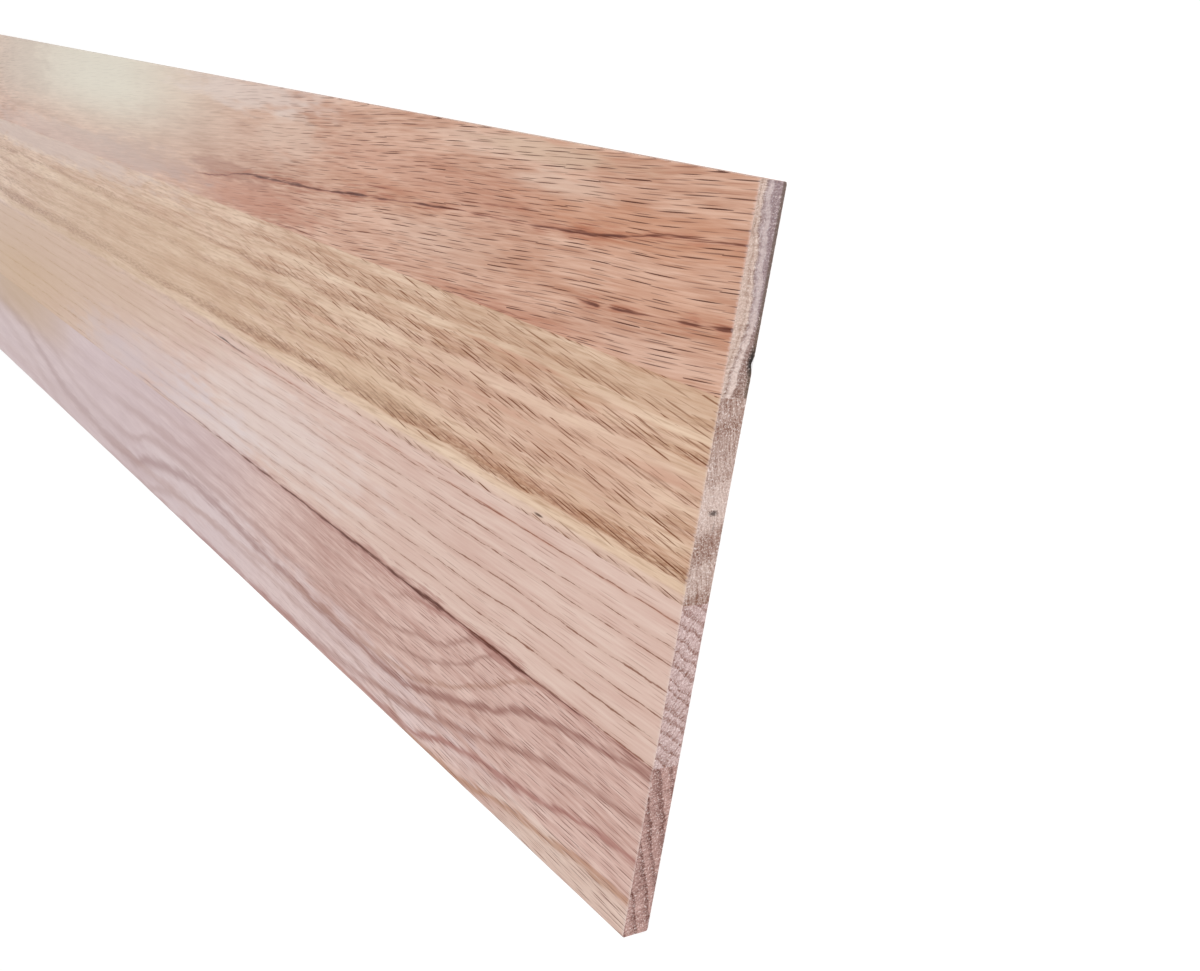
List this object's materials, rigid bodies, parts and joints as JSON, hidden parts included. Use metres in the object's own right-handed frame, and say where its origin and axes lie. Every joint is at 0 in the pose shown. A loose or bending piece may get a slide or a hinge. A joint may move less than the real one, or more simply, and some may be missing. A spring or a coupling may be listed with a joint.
{
  "type": "stair riser board",
  "caption": "Thin flat hardwood board, edge-glued from full-length staves, that closes the upright face between two stair treads.",
  "frame": {"origin": "centre of the back face, on which the board lies", "axes": "+X along the length, towards the chipped end that the picture shows; +Y across the width, towards the edge that goes under the tread; +Z out of the show face"},
  "size_m": [1.2192, 0.1906, 0.0079],
  "materials": {
    "red_oak_reddish": "sanded bare wood, satin",
    "red_oak_tan": "sanded bare wood, satin",
    "red_oak_pale": "sanded bare wood, satin",
    "red_oak_pinkish": "sanded bare wood, satin"
  },
  "bodies": {
    "root": {"top_edge_stave": "red_oak_reddish", "upper_stave": "red_oak_tan", "lower_stave": "red_oak_pale", "bottom_edge_stave": "red_oak_pinkish"}
  },
  "joints": []
}
